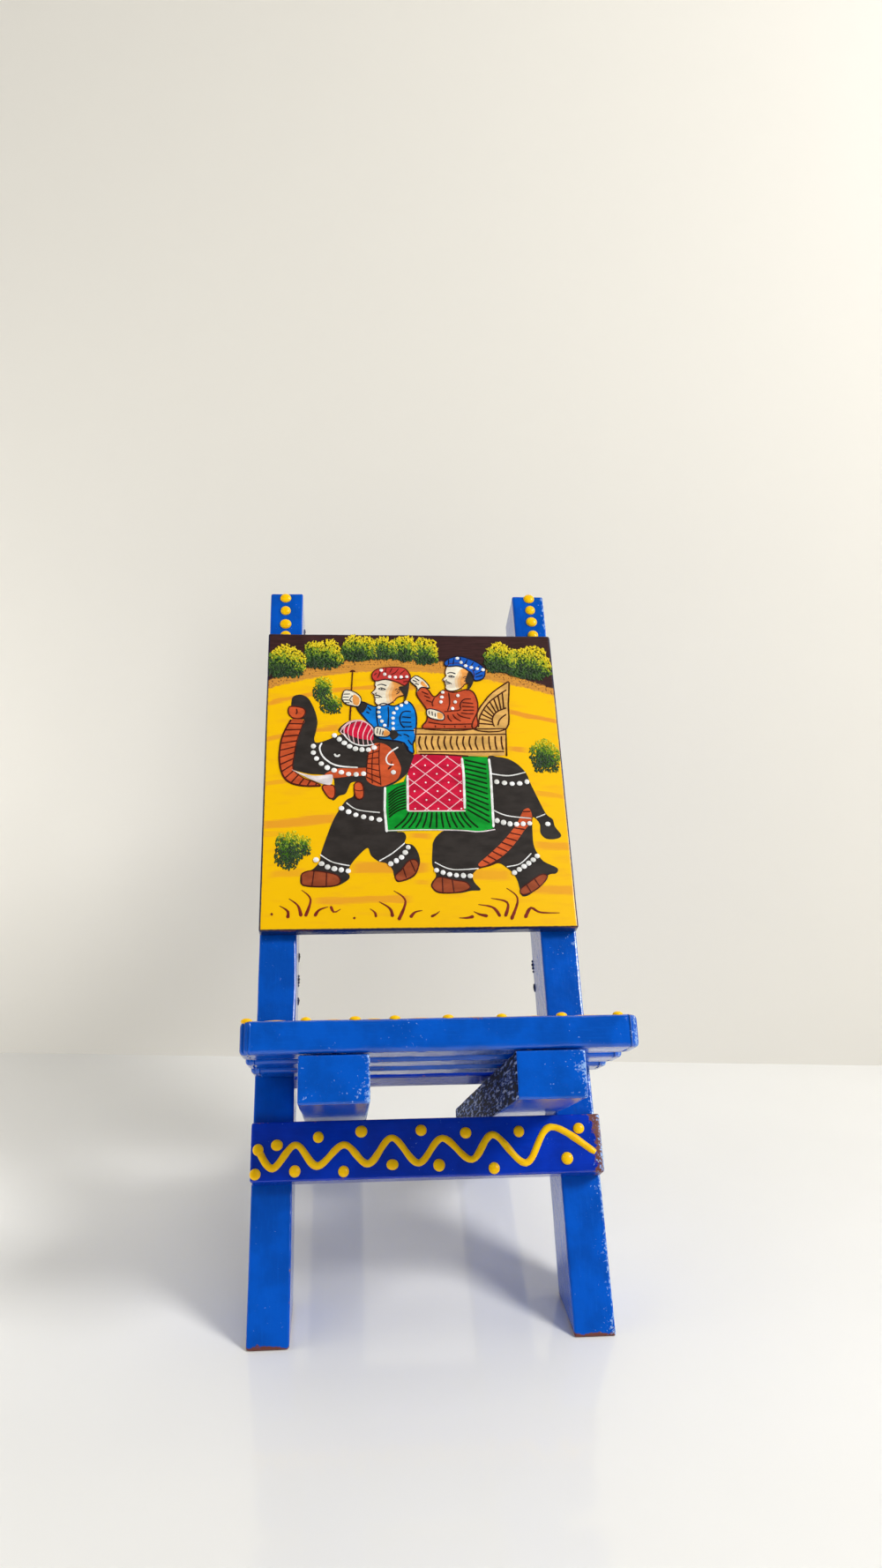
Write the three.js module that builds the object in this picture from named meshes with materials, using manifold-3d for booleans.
// Chair-shaped phone stand in painted wood, after the folk-painted ones made in Rajasthan.
// Two frames interlock: an upright back frame that carries the picture panel, and a sloping
// seat frame whose rails pass between the posts, over the front crossbar and under the rear
// one, down to the table behind. The seat frame draws out forwards for packing.
// Millimetres, +Z up, +X to the viewer's right, the front faces -Y.
// The origin is the centre of the footprint, on the table.

import * as THREE from "three";
import { mergeVertices } from "three/addons/utils/BufferGeometryUtils.js";
import Module from "manifold-3d";

const wasm = await Module();
wasm.setup();

// ---------------------------------------------------------------- driving dimensions
const GAP = 0.3; // clearance between pieces that touch
const LEAN = THREE.MathUtils.degToRad(32.2); // posts, from upright
const SLOPE = THREE.MathUtils.degToRad(25.3); // seat rails, from level

const FRAME_WIDTH = 96; // across both posts
const POST = { width: 11.2, depth: 19, length: 238 };
const PANEL = { width: 96, height: 106.4, thickness: 4.2, bottom: 111.5 };
const FRONT_BAR = { length: 96, height: 15.8, thickness: 6.2, bottom: 40.3 };
const REAR_BAR = { length: 96, height: 11.2, thickness: 12.5 };

const RAIL = { width: 17.6, height: 11.8, outerWidth: 70.6 };
const SLAT = { length: 99, width: 12, thickness: 8.2, gap: 7.2, count: 3, cornerRadius: 3 };
const SEAT_SHIFT = 1.2; // the seat frame sits this far right of the back frame

const BRAD = { shaft: 0.6, head: 1.2, headThickness: 0.8, tip: 1.6, sunk: 0.3, sides: 12 };
const BRAD_BITE = { slat: 8, frontBar: 11, rearBar: 9, panel: 10 }; // depth into the second piece
const BRAD_INSET = { frontBar: 4, panel: 9 }; // from the piece's lower and upper edges

// ---------------------------------------------------------------- worked-out places
// The angle between a post and a line square to the rails.
const SKEW = LEAN - SLOPE;
const slatPitch = SLAT.width + SLAT.gap;
const seatDepth = SLAT.count * SLAT.width + (SLAT.count - 1) * SLAT.gap;
const frontBarTop = FRONT_BAR.bottom + FRONT_BAR.height;
const frontBarFace = FRONT_BAR.thickness + GAP;

// Height of the rails' top plane, measured square to it: they ride on the front bar's upper
// outer edge.
const railPlane =
  frontBarTop * Math.cos(SKEW) + frontBarFace * Math.sin(SKEW) + GAP + RAIL.height;
// The rearmost slat stops against the posts' front faces.
const slatStop = GAP + seatDepth * Math.cos(SKEW);
// Front upper corner of the rails, in the side view.
const seatFront = {
  y: (railPlane * Math.sin(LEAN) - slatStop * Math.cos(SLOPE)) / Math.cos(SKEW),
  z: (railPlane * Math.cos(LEAN) + slatStop * Math.sin(SLOPE)) / Math.cos(SKEW),
};
// The rails' lower rear edge stands on the table.
const railLength = (seatFront.z - RAIL.height * Math.cos(SLOPE)) / Math.sin(SLOPE);
// The rear bar's lower rear edge rests on the rails.
const rearBarBack = POST.depth + GAP + REAR_BAR.thickness;
const rearBarBottom = (railPlane + GAP + rearBarBack * Math.sin(SKEW)) / Math.cos(SKEW);

// Footprint, from the rails' lower front edge to the posts' upper rear edge.
const footprintFront = seatFront.y - RAIL.height * Math.sin(SLOPE);
const footprintRear = POST.depth * Math.cos(LEAN) + POST.length * Math.sin(LEAN);
const footprintMiddle = (footprintFront + footprintRear) / 2;

const postX = (FRAME_WIDTH - POST.width) / 2;
const railX = (RAIL.outerWidth - RAIL.width) / 2;
const SIDES = [
  { name: "left", sign: -1 },
  { name: "right", sign: 1 },
];

// ---------------------------------------------------------------- materials
function enamel(name, color) {
  const material = new THREE.MeshStandardMaterial({ color, roughness: 0.25, metalness: 0 });
  material.name = name;
  return material;
}

const blueEnamel = enamel("blue_enamel", 0x0a4ab8);
const paintedBoard = enamel("painted_board", 0xe0a21c);
const steel = new THREE.MeshStandardMaterial({ color: 0x8c8f94, roughness: 0.4, metalness: 1 });
steel.name = "nail_steel";

// ---------------------------------------------------------------- solids
function toSolid(geometry) {
  const bare = geometry.clone();
  bare.deleteAttribute("normal");
  bare.deleteAttribute("uv");
  const merged = mergeVertices(bare, 1e-4);
  return new wasm.Manifold(
    new wasm.Mesh({
      numProp: 3,
      vertProperties: new Float32Array(merged.attributes.position.array),
      triVerts: new Uint32Array(merged.index.array),
    })
  );
}

function fromSolid(solid) {
  const mesh = solid.getMesh();
  const geometry = new THREE.BufferGeometry();
  geometry.setAttribute("position", new THREE.BufferAttribute(mesh.vertProperties, 3));
  geometry.setIndex(new THREE.BufferAttribute(mesh.triVerts, 1));
  const faceted = geometry.toNonIndexed();
  faceted.computeVertexNormals();
  return faceted;
}

// A side-view outline in (y, z), drawn out along x and centred on it.
function sidePrism(outline, width) {
  const shape = new THREE.Shape(outline.map(([y, z]) => new THREE.Vector2(y, z)));
  const geometry = new THREE.ExtrudeGeometry(shape, { depth: width, bevelEnabled: false });
  geometry.translate(0, 0, -width / 2);
  const turn = new THREE.Matrix4();
  turn.set(0, 0, 1, 0, 1, 0, 0, 0, 0, 1, 0, 0, 0, 0, 0, 1);
  return geometry.applyMatrix4(turn);
}

// A flat slat with rounded corners in plan, its underside at z = 0 and its front edge at y = 0.
function roundedSlat({ length, width, thickness, cornerRadius }) {
  const half = length / 2;
  const r = cornerRadius;
  const shape = new THREE.Shape();
  shape.moveTo(-half + r, 0);
  shape.lineTo(half - r, 0);
  shape.absarc(half - r, r, r, -Math.PI / 2, 0);
  shape.lineTo(half, width - r);
  shape.absarc(half - r, width - r, r, 0, Math.PI / 2);
  shape.lineTo(-half + r, width);
  shape.absarc(-half + r, width - r, r, Math.PI / 2, Math.PI);
  shape.lineTo(-half, r);
  shape.absarc(-half + r, r, r, Math.PI, 1.5 * Math.PI);
  return new THREE.ExtrudeGeometry(shape, {
    depth: thickness,
    bevelEnabled: false,
    curveSegments: 6,
  });
}

// A turned profile along y, given as [radius, height] from the bottom up.
function turned(profile) {
  const points = profile.map(([radius, height]) => new THREE.Vector2(radius, height));
  return new THREE.LatheGeometry(points, BRAD.sides);
}

// A headed nail that points along -y, its head's top at y = 0.
function bradGeometry(length) {
  return turned([
    [0, -length],
    [BRAD.shaft, BRAD.tip - length],
    [BRAD.shaft, -BRAD.headThickness],
    [BRAD.head, -BRAD.headThickness],
    [BRAD.head, 0],
    [0, 0],
  ]);
}

// The hole that clears such a nail all round and opens above its head.
function bradHole(length) {
  const above = 2 * BRAD.sunk + 1;
  return turned([
    [0, -length - GAP],
    [BRAD.shaft + GAP, BRAD.tip - length - GAP],
    [BRAD.shaft + GAP, -BRAD.headThickness - GAP],
    [BRAD.head + GAP, -BRAD.headThickness - GAP],
    [BRAD.head + GAP, above],
    [0, above],
  ]);
}

// ---------------------------------------------------------------- pieces and nails
function makePiece(name, geometry, position, material) {
  return { name, geometry, position: new THREE.Vector3(...position), material };
}

// A nail enters at `entry`, a point on the outer face, and runs along `direction`.
function makeNail(name, entry, direction, length) {
  const inward = new THREE.Vector3(...direction);
  const head = new THREE.Vector3(...entry).addScaledVector(inward, BRAD.sunk);
  const turn = new THREE.Quaternion().setFromUnitVectors(new THREE.Vector3(0, -1, 0), inward);
  return { name, head, turn, length };
}

// Puts the pieces and nails of one frame in a group, with each nail's hole cut in every piece
// that it passes through.
function assemble(pieces, nails) {
  const group = new THREE.Group();
  for (const piece of pieces) {
    let solid = toSolid(piece.geometry);
    for (const nail of nails) {
      const hole = bradHole(nail.length);
      hole.applyQuaternion(nail.turn);
      hole.translate(...nail.head.clone().sub(piece.position).toArray());
      solid = solid.subtract(toSolid(hole));
    }
    const mesh = new THREE.Mesh(fromSolid(solid), piece.material);
    mesh.name = piece.name;
    mesh.position.copy(piece.position);
    group.add(mesh);
  }
  for (const nail of nails) {
    const mesh = new THREE.Mesh(bradGeometry(nail.length), steel);
    mesh.name = nail.name;
    mesh.position.copy(nail.head);
    mesh.quaternion.copy(nail.turn);
    group.add(mesh);
  }
  return group;
}

// ---------------------------------------------------------------- back frame
// Its own axes: x across, y from the posts' front faces rearwards, z up along the posts.
function backFrame() {
  const foot = POST.depth * Math.tan(LEAN);
  const postOutline = [[0, 0], [POST.depth, foot], [POST.depth, POST.length], [0, POST.length]];
  const bar = ({ length, height, thickness }) => new THREE.BoxGeometry(length, thickness, height);
  const rearBarMiddle = rearBarBottom + REAR_BAR.height / 2;

  const pieces = SIDES.map(({ name, sign }) =>
    makePiece(`${name}_post`, sidePrism(postOutline, POST.width), [sign * postX, 0, 0], blueEnamel)
  );
  pieces.push(
    makePiece(
      "picture_panel",
      new THREE.BoxGeometry(PANEL.width, PANEL.thickness, PANEL.height),
      [0, -GAP - PANEL.thickness / 2, PANEL.bottom + PANEL.height / 2],
      paintedBoard
    ),
    makePiece(
      "front_crossbar",
      bar(FRONT_BAR),
      [0, -GAP - FRONT_BAR.thickness / 2, FRONT_BAR.bottom + FRONT_BAR.height / 2],
      blueEnamel
    ),
    makePiece(
      "rear_crossbar",
      bar(REAR_BAR),
      [0, POST.depth + GAP + REAR_BAR.thickness / 2, rearBarMiddle],
      blueEnamel
    )
  );

  const rearwards = [0, 1, 0];
  const forwards = [0, -1, 0];
  const nails = SIDES.flatMap(({ name, sign }) => {
    const x = sign * postX;
    const panelTop = PANEL.bottom + PANEL.height;
    const throughBar = FRONT_BAR.thickness + BRAD_BITE.frontBar;
    const throughPanel = PANEL.thickness + BRAD_BITE.panel;
    const throughRearBar = REAR_BAR.thickness + BRAD_BITE.rearBar;
    const barFace = -GAP - FRONT_BAR.thickness;
    const panelFace = -GAP - PANEL.thickness;
    const rearFace = POST.depth + GAP + REAR_BAR.thickness;
    const barLow = FRONT_BAR.bottom + BRAD_INSET.frontBar;
    const barHigh = frontBarTop - BRAD_INSET.frontBar;
    const panelLow = PANEL.bottom + BRAD_INSET.panel;
    const panelHigh = panelTop - BRAD_INSET.panel;
    return [
      makeNail(`bar_nail_${name}_lower`, [x, barFace, barLow], rearwards, throughBar),
      makeNail(`bar_nail_${name}_upper`, [x, barFace, barHigh], rearwards, throughBar),
      makeNail(`panel_nail_${name}_lower`, [x, panelFace, panelLow], rearwards, throughPanel),
      makeNail(`panel_nail_${name}_upper`, [x, panelFace, panelHigh], rearwards, throughPanel),
      makeNail(`rear_bar_nail_${name}`, [x, rearFace, rearBarMiddle], forwards, throughRearBar),
    ];
  });

  const group = assemble(pieces, nails);
  group.position.x = -SEAT_SHIFT;
  group.rotation.x = -LEAN;
  return group;
}

// ---------------------------------------------------------------- seat frame
// Its own axes: x across, y rearwards and down along the rails, z up from the rails' tops.
function seatFrame() {
  const rails = SIDES.map(({ name, sign }) =>
    makePiece(
      `${name}_seat_rail`,
      new THREE.BoxGeometry(RAIL.width, railLength, RAIL.height),
      [sign * railX, railLength / 2, -RAIL.height / 2],
      blueEnamel
    )
  );
  const rows = ["front", "middle", "rear"];
  const slats = rows.map((row, i) =>
    makePiece(`seat_slat_${row}`, roundedSlat(SLAT), [0, i * slatPitch, GAP], blueEnamel)
  );
  const down = [0, 0, -1];
  const top = GAP + SLAT.thickness;
  const throughSlat = SLAT.thickness + BRAD_BITE.slat;
  const nails = rows.flatMap((row, i) =>
    SIDES.map(({ name, sign }) => {
      const entry = [sign * railX, i * slatPitch + SLAT.width / 2, top];
      return makeNail(`slat_nail_${row}_${name}`, entry, down, throughSlat);
    })
  );

  const group = assemble([...rails, ...slats], nails);
  group.position.set(0, seatFront.y, seatFront.z);
  group.rotation.x = -SLOPE;
  return group;
}

// ---------------------------------------------------------------- whole stand
const stand = new THREE.Group();
stand.name = "phone_stand";
stand.add(backFrame(), seatFrame());
stand.position.y = -footprintMiddle;

export default stand;
